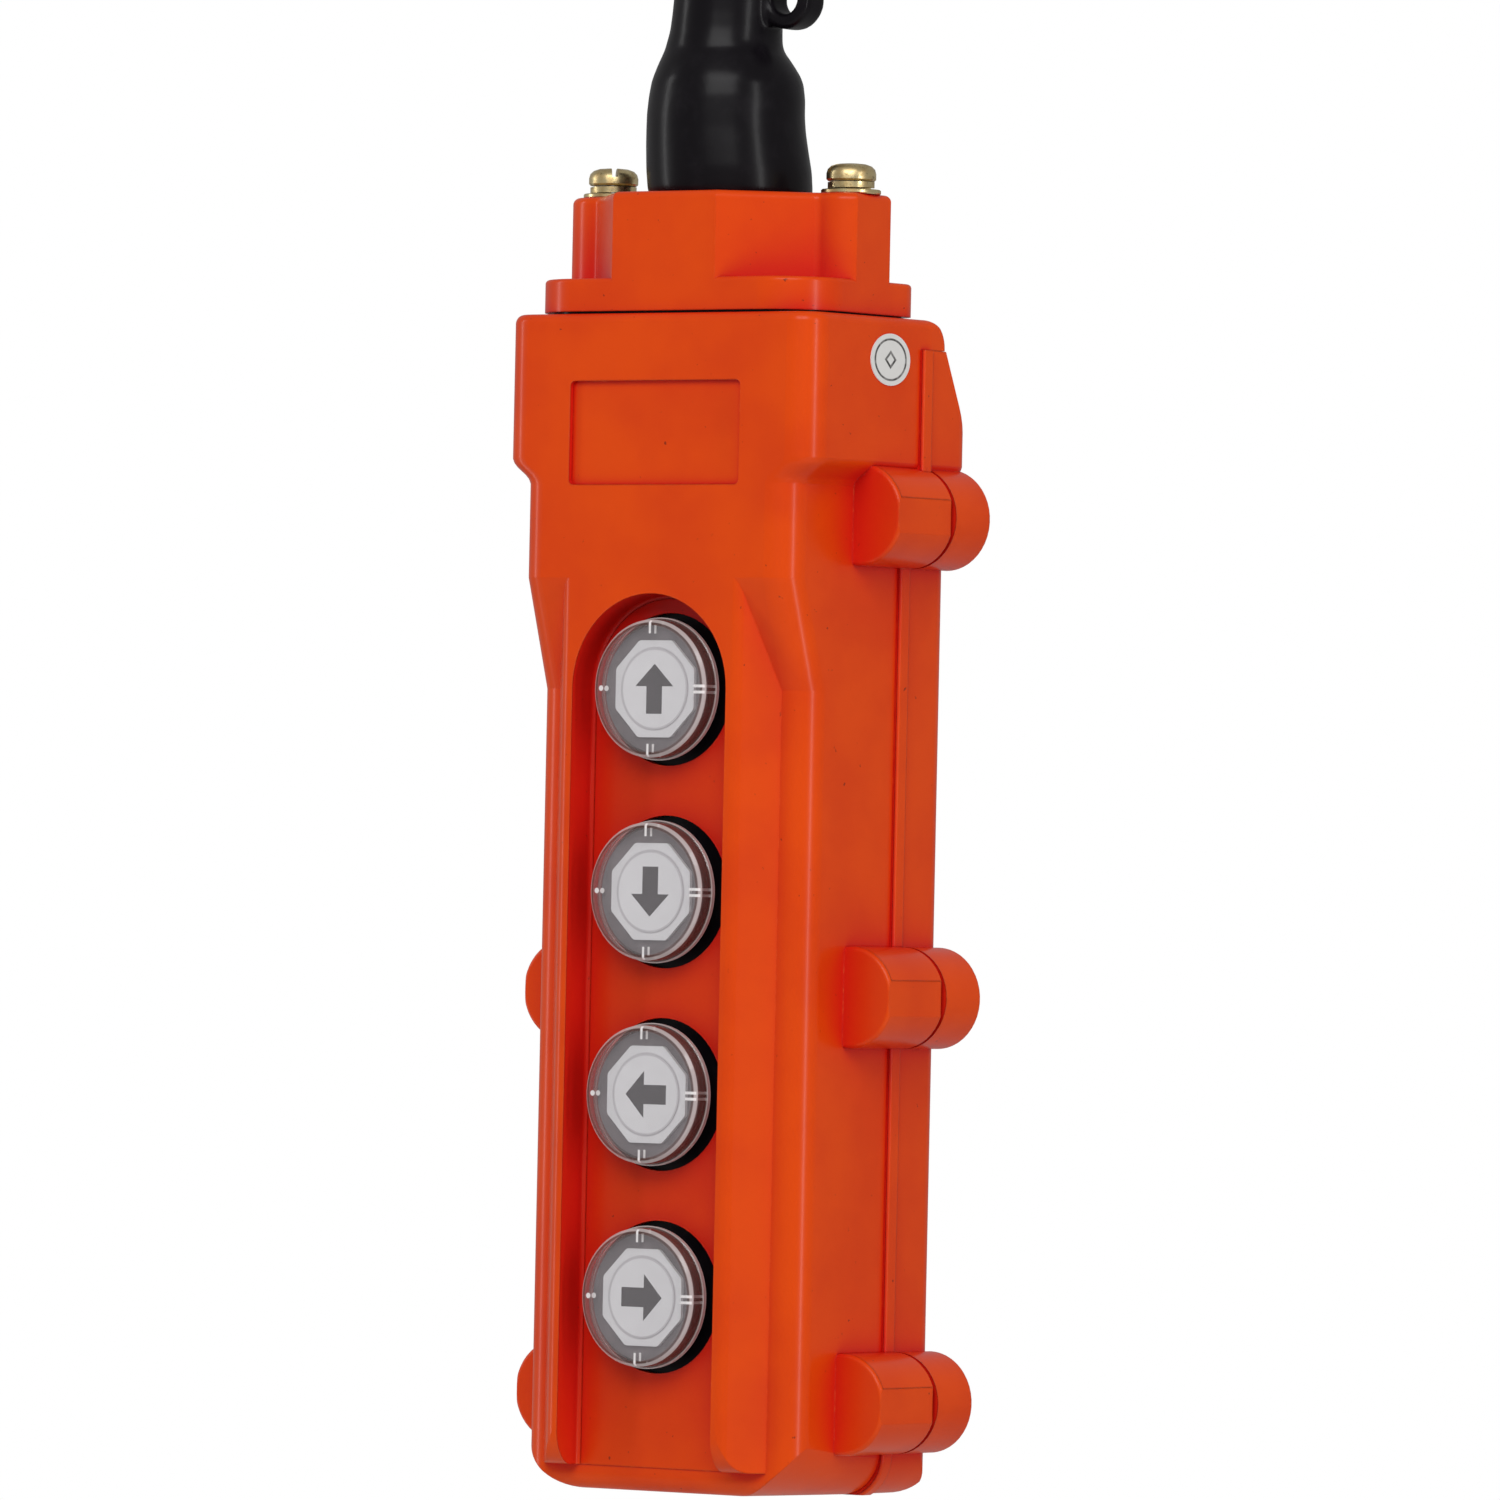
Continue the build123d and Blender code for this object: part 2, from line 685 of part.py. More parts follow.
def guide_bush():
    bore = stem_radius + guide_clearance
    return spun([(bore, bush_y), (flange_radius, bush_y), (flange_radius, plate_y),
                 (bush_tube_radius, plate_y), (bush_tube_radius, bush_tube_end_y),
                 (bore, bush_tube_end_y)])


def switch_block():
    """Cup that holds the contacts, closed in front by the mounting plate."""
    inner_x = block_half_x - block_wall
    inner_z = block_half_z - block_wall
    body = slab(Rectangle(2 * block_half_x, 2 * block_half_z), block_y, block_back_y)
    body += slab(Rectangle(2 * shelf_half_x, 2 * shelf_half_z), shelf_front_y, strip_y)
    body -= slab(Rectangle(2 * inner_x, 2 * inner_z), block_y, block_back_y - block_wall)
    body -= slab(Rectangle(2 * block_half_x, bridge_width), strip_y, strip_back)
    for side in sides:
        body -= disc(terminal_radius + seat_gap, shelf_front_y + 1.5, strip_y, side * terminal_x)
    return body


def fixed_contacts():
    """Two strips from the contacts inside to the terminals outside."""
    length = shelf_half_x - 0.5 - strip_inner_x
    strips = []
    for side in sides:
        middle = side * (strip_inner_x + length / 2)
        strip = slab(Pos(middle, 0) * Rectangle(length, bridge_width), strip_y, strip_back)
        strip += disc(contact_radius, strip_y - contact_thickness, strip_y, side * contact_x)
        strips.append(strip - disc(terminal_radius + 0.15, 0, back_y, side * terminal_x))
    return strips


def terminal_screws():
    tip = shelf_front_y + 2
    return [screw_along_y(side * terminal_x, 0, strip_back, tip, terminal_radius,
                          terminal_head_radius, terminal_head_height) for side in sides]


# ---- mounting plate ------------------------------------------------------
def mounting_plate():
    height = top_button_z - first_button_z + 2 * plate_margin
    middle = (top_button_z + first_button_z) / 2
    sketch = fillet(Rectangle(2 * plate_half, height).vertices(), 4.0)
    plate = slab(Pos(0, middle) * sketch, plate_y, block_y)
    for z in button_heights:
        plate -= disc(bush_tube_radius + 0.2, 0, back_y, 0, z)
    for x, z in plate_screw_places():
        plate -= disc(plate_screw_radius + 0.35, 0, back_y, x, z)
    return plate


def plate_screws():
    return [screw_along_y(x, z, block_y, floor_back - plate_screw_depth, plate_screw_radius, *plate_screw_head)
            for x, z in plate_screw_places()]


def approval_sticker():
    """Thin oval label on the right side of the head, following the side's draft."""
    oval = Pos(sticker_y, sticker_z) * Ellipse(sticker_width / 2, sticker_height / 2)
    reach = extrude(Plane.YZ * oval, amount=beyond)
    skin = upright(front_section(0, head_half_front + sticker_thickness, corner_radius),
                   shoulder_high, head_top)
    core = upright(front_section(0, head_half_front, corner_radius), shoulder_high, head_top)
    return reach & (skin - core)


write("front_shell", front_shell())
write("back_cover", back_cover())
write("shell_gasket", shell_gasket())
write("cover_screws", *cover_screws())
write("cover_screw_inserts", *cover_screw_inserts())
write("top_cap", top_cap())
write("cap_gasket", cap_gasket())
write("cap_flat_washers", *at_ears(flat_washer))
write("cap_spring_washers", *at_ears(spring_washer))
write("cap_screws", *at_ears(cap_screw))
write("cap_screw_inserts", *at_ears(cap_insert))
write("cable_boot", cable_boot())
write("mounting_plate", mounting_plate())
write("plate_screws", *plate_screws())
write("approval_sticker", approval_sticker())

for direction, height in zip(directions, button_heights):
    at = Pos(0, 0, height)
    write(f"clear_cap_{direction}", at * clear_cap())
    write(f"legend_{direction}", at * legend(direction))
    write(f"arrow_{direction}", at * arrow(direction))
    write(f"plunger_{direction}", at * plunger())
    write(f"contact_bridge_{direction}", at * contact_bridge())
    write(f"return_spring_{direction}", at * return_spring())
    write(f"seal_{direction}", at * seal())
    write(f"guide_bush_{direction}", at * guide_bush())
    write(f"switch_block_{direction}", at * switch_block())
    write(f"fixed_contacts_{direction}", *[at * solid for solid in fixed_contacts()])
    write(f"terminal_screws_{direction}", *[at * solid for solid in terminal_screws()])
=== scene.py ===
import bpy
import json
import math
from mathutils import Matrix, Vector


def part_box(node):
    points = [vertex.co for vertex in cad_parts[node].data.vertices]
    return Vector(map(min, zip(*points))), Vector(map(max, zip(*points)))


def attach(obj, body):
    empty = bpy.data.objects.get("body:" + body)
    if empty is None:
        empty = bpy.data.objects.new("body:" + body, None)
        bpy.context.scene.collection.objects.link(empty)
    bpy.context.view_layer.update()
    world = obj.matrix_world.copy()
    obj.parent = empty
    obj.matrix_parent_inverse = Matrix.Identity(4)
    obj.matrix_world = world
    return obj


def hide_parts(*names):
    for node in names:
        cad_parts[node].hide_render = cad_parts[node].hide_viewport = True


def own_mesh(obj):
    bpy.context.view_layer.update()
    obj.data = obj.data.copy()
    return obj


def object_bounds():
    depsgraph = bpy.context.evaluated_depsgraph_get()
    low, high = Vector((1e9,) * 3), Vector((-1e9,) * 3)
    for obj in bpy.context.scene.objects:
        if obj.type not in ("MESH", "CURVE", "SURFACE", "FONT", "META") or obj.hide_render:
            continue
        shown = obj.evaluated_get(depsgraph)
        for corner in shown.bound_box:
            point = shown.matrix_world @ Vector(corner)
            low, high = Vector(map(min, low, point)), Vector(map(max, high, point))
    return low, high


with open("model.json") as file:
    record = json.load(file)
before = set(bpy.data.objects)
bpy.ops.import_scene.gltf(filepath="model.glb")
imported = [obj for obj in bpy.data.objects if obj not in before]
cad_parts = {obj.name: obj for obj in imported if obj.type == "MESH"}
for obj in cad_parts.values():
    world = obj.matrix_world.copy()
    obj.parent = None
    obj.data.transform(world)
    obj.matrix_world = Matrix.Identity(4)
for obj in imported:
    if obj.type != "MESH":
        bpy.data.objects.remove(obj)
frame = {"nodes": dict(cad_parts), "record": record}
cadLow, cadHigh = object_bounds()
scene = bpy.context.scene
mm = 0.001
directions = ["right", "left", "down", "up"]


def middleOf(node):
    low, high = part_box(node)
    return (low + high) / 2


lowestCap = middleOf("clear_cap_right")
pitch = middleOf("clear_cap_left").z - lowestCap.z


# shader tools
class Value:
    # wraps one socket, so that sums and products of sockets read as Python
    def __init__(self, finish, socket):
        self.finish = finish
        self.socket = socket

    def calc(self, operation, *others):
        inputs = dict(enumerate((self, *others)))
        return self.finish.add("ShaderNodeMath", {"operation": operation}, inputs)

    def __add__(self, other):
        return self.calc("ADD", other)

    __radd__ = __add__

    def __sub__(self, other):
        return self.calc("SUBTRACT", other)

    def __rsub__(self, other):
        return self.finish.add("ShaderNodeMath", {"operation": "SUBTRACT"}, {0: other, 1: self})

    def __mul__(self, other):
        return self.calc("MULTIPLY", other)

    __rmul__ = __mul__

    def __truediv__(self, other):
        return self.calc("DIVIDE", other)

    def __pow__(self, other):
        return self.calc("POWER", other)

    def clamped(self):
        return self.calc("MINIMUM", 1.0).calc("MAXIMUM", 0.0)


class Finish:
    # one material and the nodes that make it
    def __init__(self, name):
        self.material = bpy.data.materials.new(name)
        self.material.use_nodes = True
        self.tree = self.material.node_tree
        self.tree.nodes.clear()
        self.output = self.tree.nodes.new("ShaderNodeOutputMaterial")

    def add(self, kind, settings=None, inputs=None, out=0):
        node = self.tree.nodes.new(kind)
        for key, value in (settings or {}).items():
            if key == "stops":
                self.setStops(node.color_ramp, value)
            else:
                setattr(node, key, value)
        for key, value in (inputs or {}).items():
            self.fill(node.inputs[key], value)
        return Value(self, node.outputs[out])

    def fill(self, socket, value):
        if isinstance(value, Value):
            self.tree.links.new(value.socket, socket)
        else:
            socket.default_value = value

    def setStops(self, ramp, stops):
        while len(ramp.elements) > 1:
            ramp.elements.remove(ramp.elements[-1])
        for index, (position, colour) in enumerate(stops):
            element = ramp.elements[0] if index == 0 else ramp.elements.new(position)
            element.position = position
            element.color = (*colour, 1.0)

    def place(self):
        return self.add("ShaderNodeTexCoord", out=3)

    def parts(self, vector):
        node = self.tree.nodes.new("ShaderNodeSeparateXYZ")
        self.fill(node.inputs[0], vector)
        return [Value(self, output) for output in node.outputs]

    def noise(self, vector, scale, detail=2.0, roughness=0.5):
        inputs = {"Vector": vector, "Scale": scale, "Detail": detail, "Roughness": roughness}
        return self.add("ShaderNodeTexNoise", {}, inputs)

    def between(self, value, low, high):
        # 0 below low, 1 above high, smooth in between
        settings = {"interpolation_type": "SMOOTHSTEP"}
        inputs = {"Value": value, "From Min": low, "From Max": high}
        return self.add("ShaderNodeMapRange", settings, inputs)

    def mix(self, amount, first, second):
        node = self.tree.nodes.new("ShaderNodeMix")
        node.data_type = "RGBA"
        for index, value in ((0, amount), (6, first), (7, second)):
            self.fill(node.inputs[index], value)
        return Value(self, node.outputs[2])

    def bump(self, height, distance, strength=1.0, normal=None):
        inputs = {"Height": height, "Distance": distance, "Strength": strength}
        if normal:
            inputs["Normal"] = normal
        return self.add("ShaderNodeBump", {}, inputs)

    def surface(self, **sockets):
        named = {key.replace("_", " "): value for key, value in sockets.items()}
        shader = self.add("ShaderNodeBsdfPrincipled", {}, named)
        self.tree.links.new(shader.socket, self.output.inputs["Surface"])
        return self.material


def colour(red, green, blue):
    return (red, green, blue, 1.0)


# finishes
orangeSet = {
    "base": colour(0.76, 0.066, 0.0015),
    "deep": colour(0.69, 0.050, 0.0015),
    # painted shade: the darker red painted into hollows and corners
    "shaded": colour(0.64, 0.010, 0.006),
    "scuffed": colour(0.88, 0.17, 0.035),
    "grime": colour(0.12, 0.016, 0.006),
    "roughness": 0.30,
    "specular": 0.10,
    "coat": (0.2, 0.2),    # weight and roughness
    "reach": 36.0 * mm,    # painted shade: hollows nearer than this are painted deeper red
    "open": 0.98,
    "closed": 0.52,
    "softEdge": 0.5 * mm,
    "grain": 0.02 * mm,
    "cloudScale": 45.0,
    "rippleScale": 160.0,
    "scratchScale": 380.0,
    "speckScale": 620.0,
    "grainScale": 2400.0,
    "wear": 0.45,
    "dirt": 0.75,
}


def makeOrange():
    finish = Finish("orangePlastic")
    place = finish.place()
    clouds = finish.between(finish.noise(place, orangeSet["cloudScale"], 3.0), 0.35, 0.7)
    grain = finish.noise(place, orangeSet["grainScale"])
    ripple = finish.noise(place, orangeSet["rippleScale"])
    softNormal = finish.add("ShaderNodeBevel", {"samples": 4}, {"Radius": orangeSet["softEdge"]})
    trueNormal = finish.add("ShaderNodeNewGeometry", out=1)
    facing = finish.add("ShaderNodeVectorMath", {"operation": "DOT_PRODUCT"},
                        {0: softNormal, 1: trueNormal}, out=1)
    edge = finish.between(1.0 - facing, 0.02, 0.22)
    scratchy = finish.between(finish.noise(place, orangeSet["scratchScale"], 4.0, 0.65), 0.50, 0.66)
    specks = finish.between(finish.noise(place, orangeSet["speckScale"], 3.0, 0.6), 0.71, 0.76)
    # painted shade: where the ambient occlusion node finds a hollow, the colour is mixed toward the darker
    # red
    openness = finish.add("ShaderNodeAmbientOcclusion", {"samples": 6},
                          {"Distance": orangeSet["reach"]}, out=1)
    shade = finish.between(openness, orangeSet["open"], orangeSet["closed"])
    body = finish.mix(clouds, orangeSet["base"], orangeSet["deep"])
    body = finish.mix(shade, body, orangeSet["shaded"])
    worn = finish.mix(edge * scratchy * orangeSet["wear"], body, orangeSet["scuffed"])
    dirty = finish.mix(specks * orangeSet["dirt"], worn, orangeSet["grime"])
    roughness = orangeSet["roughness"] + (clouds - 0.5) * 0.05 + edge * scratchy * 0.2
    bumped = finish.bump(grain + ripple * 3.0, orangeSet["grain"], 0.35, softNormal)
    coatWeight, coatRoughness = orangeSet["coat"]
    return finish.surface(Base_Color=dirty, Roughness=roughness, Normal=bumped,
                          Specular_IOR_Level=orangeSet["specular"],
                          Coat_Weight=coatWeight, Coat_Roughness=coatRoughness)


rubberSet = {
    "base": colour(0.0045, 0.0035, 0.0050),
    "dusty": colour(0.013, 0.011, 0.014),
    "dust": 0.5,
    "dustScale": 130.0,
    "skinScale": 1500.0,
    "skin": 0.02 * mm,
    "roughness": 0.36,
    "specular": 0.04,
    "coat": (0.22, 0.24),    # weight and roughness
}


def makeRubber():
    finish = Finish("blackRubber")
    place = finish.place()
    dust = finish.between(finish.noise(place, rubberSet["dustScale"], 4.0, 0.6), 0.45, 0.75)
    skin = finish.noise(place, rubberSet["skinScale"], 3.0)
    base = finish.mix(dust * rubberSet["dust"], rubberSet["base"], rubberSet["dusty"])
    bumped = finish.bump(skin, rubberSet["skin"], 0.5)
    coatWeight, coatRoughness = rubberSet["coat"]
    return finish.surface(Base_Color=base, Roughness=rubberSet["roughness"] + dust * 0.12,
                          Normal=bumped, Specular_IOR_Level=rubberSet["specular"],
                          Coat_Weight=coatWeight, Coat_Roughness=coatRoughness)


yellowZincSet = {
    "light": colour(0.80, 0.66, 0.36),
    "dark": colour(0.56, 0.40, 0.18),
    "tarnished": colour(0.10, 0.07, 0.04),
    "tarnish": 0.6,
    "stainScale": 420.0,
    "tarnishScale": 900.0,
    "roughness": 0.25,
}


def makeYellowZinc():
    finish = Finish("yellowZinc")
    place = finish.place()
    stain = finish.between(finish.noise(place, yellowZincSet["stainScale"], 4.0, 0.6), 0.35, 0.7)
    tarnish = finish.between(finish.noise(place, yellowZincSet["tarnishScale"], 3.0, 0.6), 0.55, 0.75)
    plated = finish.mix(stain, yellowZincSet["light"], yellowZincSet["dark"])
    base = finish.mix(tarnish * yellowZincSet["tarnish"], plated, yellowZincSet["tarnished"])
    return finish.surface(Base_Color=base, Metallic=1.0,
                          Roughness=yellowZincSet["roughness"] + stain * 0.2,
                          Normal=finish.bump(stain, 0.03 * mm, 0.4))


def makeMetal(name, light, dark, roughness):
    finish = Finish(name)
    place = finish.place()
    stain = finish.between(finish.noise(place, 500.0, 3.0, 0.6), 0.35, 0.7)
    return finish.surface(Base_Color=finish.mix(stain, light, dark), Metallic=1.0,
                          Roughness=roughness + stain * 0.12,
                          Normal=finish.bump(finish.noise(place, 2600.0), 0.01 * mm, 0.4))


def makePlastic(name, base, roughness):
    finish = Finish(name)
    place = finish.place()
    mottle = finish.between(finish.noise(place, 220.0, 3.0), 0.35, 0.7)
    lighter = colour(*[min(1.0, channel * 1.25 + 0.004) for channel in base])
    return finish.surface(Base_Color=finish.mix(mottle, colour(*base), lighter),
                          Roughness=roughness + mottle * 0.08,
                          Normal=finish.bump(finish.noise(place, 2200.0), 0.012 * mm, 0.4))


def buttonPlace(finish, place):
    # across, depth and height of a point from its own button's axis, and its distance from it
    x, y, z = finish.parts(place)
    turns = (z - lowestCap.z) / pitch + 0.5
    tall = (turns.calc("FRACT") - 0.5) * pitch
    return x, y, tall, (x * x + tall * tall) ** 0.5


clearSet = {
    "windowEdge": 12.4 * mm,
    "bevelEdge": 12.95 * mm,
    "backRim": 13.8 * mm,
    "bevelDepth": 0.75 * mm,
    "window": colour(0.62, 0.60, 0.61),
    "smoke": colour(0.16, 0.085, 0.075),
    # painted highlight: the pale colour of the front bevel and back rim
    "bevel": colour(0.72, 0.63, 0.62),
    "tick": colour(0.86, 0.82, 0.82),
    "tickReach": (10.8 * mm, 13.3 * mm),
    "tickHalf": 0.27 * mm,
    "dotPlace": 11.6 * mm,
    "windowAlpha": 0.10,
    "smokeAlpha": 0.52,
    "bevelAlpha": 0.62,
    "tickAlpha": 0.8,
    "blur": 0.12 * mm,
}


def makeTicks(finish, x, z, radius):
    # single marks above and below, a pair on the right and a dot on the left
    soft = 0.08 * mm
    inner, outer = clearSet["tickReach"]
    half = clearSet["tickHalf"]
    reach = (finish.between(radius, inner - soft, inner + soft)
             * finish.between(radius, outer + soft, outer - soft))
    upright = finish.between(x.calc("ABSOLUTE"), half + soft, half - soft)
    offPair = (z.calc("ABSOLUTE") - 2.2 * half).calc("ABSOLUTE")
    pair = finish.between(offPair, half + soft, half - soft) * finish.between(x, 0.0, inner)
    fromDot = ((x + clearSet["dotPlace"]) ** 2.0 + z * z) ** 0.5
    dot = finish.between(fromDot, 2.0 * half + soft, 2.0 * half - soft)
    return ((upright + pair) * reach + dot).clamped()


def makeClear():
    # clear window, smoky skirt and rims painted pale as a highlight, by distance from each button's axis
    finish = Finish("clearPlastic")
    place = finish.place()
    x, y, tall, radius = buttonPlace(finish, place)
    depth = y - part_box("clear_cap_right")[0].y
    soft = clearSet["blur"]
    skirt = finish.between(radius, clearSet["windowEdge"] - soft, clearSet["windowEdge"] + soft)
    # painted highlight: the front bevel ring and the back rim are painted pale and less clear
    frontRing = (finish.between(radius, clearSet["bevelEdge"] - soft, clearSet["bevelEdge"] + soft)
                 * finish.between(depth, clearSet["bevelDepth"] + soft, clearSet["bevelDepth"] - soft))
    backRing = finish.between(radius, clearSet["backRim"] - soft, clearSet["backRim"] + soft)
    rimHighlight = (frontRing + backRing).clamped()
    tick = makeTicks(finish, x, tall, radius)
    haze = finish.between(finish.noise(place, 300.0, 3.0), 0.4, 0.75)
    base = finish.mix(skirt, clearSet["window"], clearSet["smoke"])
    base = finish.mix(rimHighlight, base, clearSet["bevel"])
    base = finish.mix(tick, base, clearSet["tick"])
    alpha = clearSet["windowAlpha"] + skirt * (clearSet["smokeAlpha"] - clearSet["windowAlpha"])
    alpha = alpha + rimHighlight * (clearSet["bevelAlpha"] - clearSet["smokeAlpha"])
    alpha = (alpha + tick * clearSet["tickAlpha"]).clamped()
    return finish.surface(Base_Color=base, Roughness=0.07 + haze * 0.06, Alpha=alpha)


legendSet = {
    "face": colour(0.78, 0.765, 0.785),
    # painted shade: the grey of the ring round the raised disc
    "ringShade": colour(0.50, 0.47, 0.50),
    "ring": (7.75 * mm, 8.1 * mm),
    "blur": 0.25 * mm,
}


def makeLegend():
    # white plate with painted shade in a soft ring round its raised disc
    finish = Finish("whitePlastic")
    place = finish.place()
    radius = buttonPlace(finish, place)[3]
    soft = legendSet["blur"]
    inner, outer = legendSet["ring"]
    # painted shade: a darker ring where the raised disc meets the plate
    ringShade = finish.between(radius, inner - soft, inner) * finish.between(radius, outer + soft, outer)
    mottle = finish.between(finish.noise(place, 220.0, 3.0), 0.35, 0.7)
    base = finish.mix(ringShade * 0.75, legendSet["face"], legendSet["ringShade"])
    # the mottle mixes a little of the same grey in at random, as the plate's own tone
    base = finish.mix(mottle * 0.08, base, legendSet["ringShade"])
    return finish.surface(Base_Color=base, Roughness=0.32 + mottle * 0.08,
                          Normal=finish.bump(finish.noise(place, 2200.0), 0.012 * mm, 0.3))


stickerSet = {
    "face": colour(0.74, 0.73, 0.71),
    "print": colour(0.05, 0.045, 0.045),
    "ring": (0.74, 0.82),    # shares of the half size
    "mark": (0.22, 0.36),
    "blur": 0.02,
}


def makeSticker():
    # plain oval with a ring and a lozenge, printed dark
    finish = Finish("stickerFilm")
    place = finish.place()
    low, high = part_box("approval_sticker")
    middle, half = (low + high) / 2, (high - low) / 2
    y, z = finish.parts(place)[1:]
    across = (y - middle.y) / half.y
    tall = (z - middle.z) / half.z
    radius = (across * across + tall * tall) ** 0.5
    lozenge = across.calc("ABSOLUTE") * 1.2 + tall.calc("ABSOLUTE")
    soft = stickerSet["blur"]
    printed = 0.0
    for value, (inner, outer) in ((radius, stickerSet["ring"]), (lozenge, stickerSet["mark"])):
        band = (finish.between(value, inner - soft, inner + soft)
                * finish.between(value, outer + soft, outer - soft))
        printed = band + printed
    worn = finish.between(finish.noise(place, 900.0, 3.0), 0.3, 0.6)
    base = finish.mix(printed.clamped() * (0.7 + worn * 0.3), stickerSet["face"], stickerSet["print"])
    return finish.surface(Base_Color=base, Roughness=0.4 + worn * 0.1)


finishes = {
    "orange_plastic": makeOrange(),
    "black_rubber": makeRubber(),
    "yellow_zinc": makeYellowZinc(),
    "zinc_steel": makeMetal("zincSteel", colour(0.70, 0.71, 0.73), colour(0.50, 0.51, 0.54), 0.28),
    "plate_steel": makeMetal("plateSteel", colour(0.62, 0.63, 0.65), colour(0.48, 0.49, 0.52), 0.36),
    "spring_steel": makeMetal("springSteel", colour(0.60, 0.61, 0.63), colour(0.42, 0.43, 0.45), 0.25),
    "brass": makeMetal("brassInsert", colour(0.86, 0.66, 0.32), colour(0.66, 0.46, 0.20), 0.30),
    "copper": makeMetal("contactCopper", colour(0.86, 0.50, 0.34), colour(0.60, 0.32, 0.20), 0.30),
    "black_plastic": makePlastic("blackPlastic", (0.018, 0.018, 0.020), 0.45),
    "grey_plastic": makePlastic("greyPlastic", (0.15, 0.125, 0.135), 0.42),
    "white_plastic": makeLegend(),
    "dark_print": makePlastic("darkPrint", (0.030, 0.021, 0.027), 0.5),
    "clear_plastic": makeClear(),
    "sticker_film": makeSticker(),
}

for part in frame["record"]["subparts"]:
    mesh = frame["nodes"][part["node"]].data
    mesh.materials.clear()
    mesh.materials.append(finishes[part["material_slot"]])
print("finishes assigned")


# mesh tools
def meshObject(name, vertices, faces, finish):
    mesh = bpy.data.meshes.new(name)
    mesh.from_pydata([tuple(v) for v in vertices], [], faces)
    mesh.materials.append(finish)
    item = bpy.data.objects.new(name, mesh)
    scene.collection.objects.link(item)
    return item


def gridFaces(rows, columns, closedRows=False):
    # quads over rows of points that each close on themselves
    faces = []
    for row in range(rows if closedRows else rows - 1):
        below = (row + 1) % rows
        for column in range(columns):
            after = (column + 1) % columns
            faces.append((row * columns + column, row * columns + after,
                          below * columns + after, below * columns + column))
    return faces


def joined(parts):
    # one list of vertices and faces from several
    vertices, faces = [], []
    for partVertices, partFaces in parts:
        start = len(vertices)
        vertices += partVertices
        faces += [tuple(start + index for index in face) for face in partFaces]
    return vertices, faces


def boxBetween(xs, ys, zs):
    # eight corners from the two limits along each axis, and the six faces between them
    corners = [Vector((x, y, z)) for x in xs for y in ys for z in zs]
    faces = [(0, 1, 3, 2), (4, 6, 7, 5), (0, 4, 5, 1), (2, 3, 7, 6), (0, 2, 6, 4), (1, 5, 7, 3)]
    return corners, faces


def spun(profile, segments=64):
    # closed ring swept from a closed outline of (radius, height), turned about z
    vertices = []
    for radius, height in profile:
        for step in range(segments):
            angle = 2 * math.pi * step / segments
            vertices.append(Vector((radius * math.cos(angle), radius * math.sin(angle), height)))
    return vertices, gridFaces(len(profile), segments, True)


def meshParts(item):
    vertices = [vertex.co.copy() for vertex in item.data.vertices]
    return vertices, [tuple(polygon.vertices) for polygon in item.data.polygons]


def plainCopy(item):
    # the evaluated object as a mesh of its own, without modifiers
    bpy.context.view_layer.update()
    depsgraph = bpy.context.evaluated_depsgraph_get()
    mesh = bpy.data.meshes.new_from_object(item.evaluated_get(depsgraph))
    copy = bpy.data.objects.new(item.name + "Made", mesh)
    scene.collection.objects.link(copy)
    bpy.data.objects.remove(item)
    return copy


def outward(item, sharpAngle=35.0):
    mesh = item.data
    bpy.context.view_layer.objects.active = item
    item.select_set(True)
    bpy.ops.object.mode_set(mode="EDIT")
    bpy.ops.mesh.select_all(action="SELECT")
    bpy.ops.mesh.normals_make_consistent(inside=False)
    bpy.ops.object.mode_set(mode="OBJECT")
    item.select_set(False)
    mesh.shade_smooth()
    mesh.set_sharp_from_angle(angle=math.radians(sharpAngle))
    return item


# cable boot
bootSet = {
    # in millimetres and degrees; a ring is its height, radius and lean to the left front
    "rings": [(0.0, 16.1, 0.0), (1.2, 16.3, 0.1), (5.0, 16.35, 0.4), (9.8, 16.0, 0.9), (13.0, 15.75, 1.15),
              (16.0, 15.6, 1.25), (19.3, 15.45, 1.1), (22.4, 15.0, 1.05), (24.0, 14.4, 1.1),
              (25.6, 13.6, 1.3), (27.2, 12.7, 1.5), (28.7, 11.8, 1.75), (30.3, 11.4, 1.75),
              (32.5, 11.1, 1.5), (36.0, 10.9, 1.3), (41.0, 10.8, 1.0), (46.0, 10.7, 0.6), (51.6, 10.7, 0.1),
              (52.7, 10.2, 0.0), (53.0, 9.6, 0.0)],
    "inside": [(53.0, 7.6), (50.0, 7.6), (31.0, 7.6), (20.0, 12.0), (0.0, 12.0)],
    "leanTurn": 216.0,
    "segments": 96,
    "eyeHeight": 38.6,
    "eyeSection": [(3.1, 2.6), (3.6, 3.4), (5.3, 3.4), (6.0, 2.6),
                   (6.0, -2.6), (5.3, -3.4), (3.6, -3.4), (3.1, -2.6)],
    "eyeRadius": 6.0,
    "eyeSegments": 48,
    "web": (2.2, 2.9, 5.6),
    "voxel": 0.5,
    "smoothing": 10,
}


def bootBody(foot):
    turn = math.radians(bootSet["leanTurn"])
    lean = Vector((math.cos(turn), math.sin(turn), 0.0))
    rings = bootSet["rings"] + [(height, radius, 0.0) for height, radius in bootSet["inside"]]
    segments = bootSet["segments"]
    vertices = []
    for height, radius, reach in rings:
        for step in range(segments):
            angle = 2 * math.pi * step / segments
            around = Vector((math.cos(angle), math.sin(angle), 0.0))
            vertices.append(foot + (around * radius + lean * reach + Vector((0, 0, height))) * mm)
    return vertices, gridFaces(len(rings), segments, True)


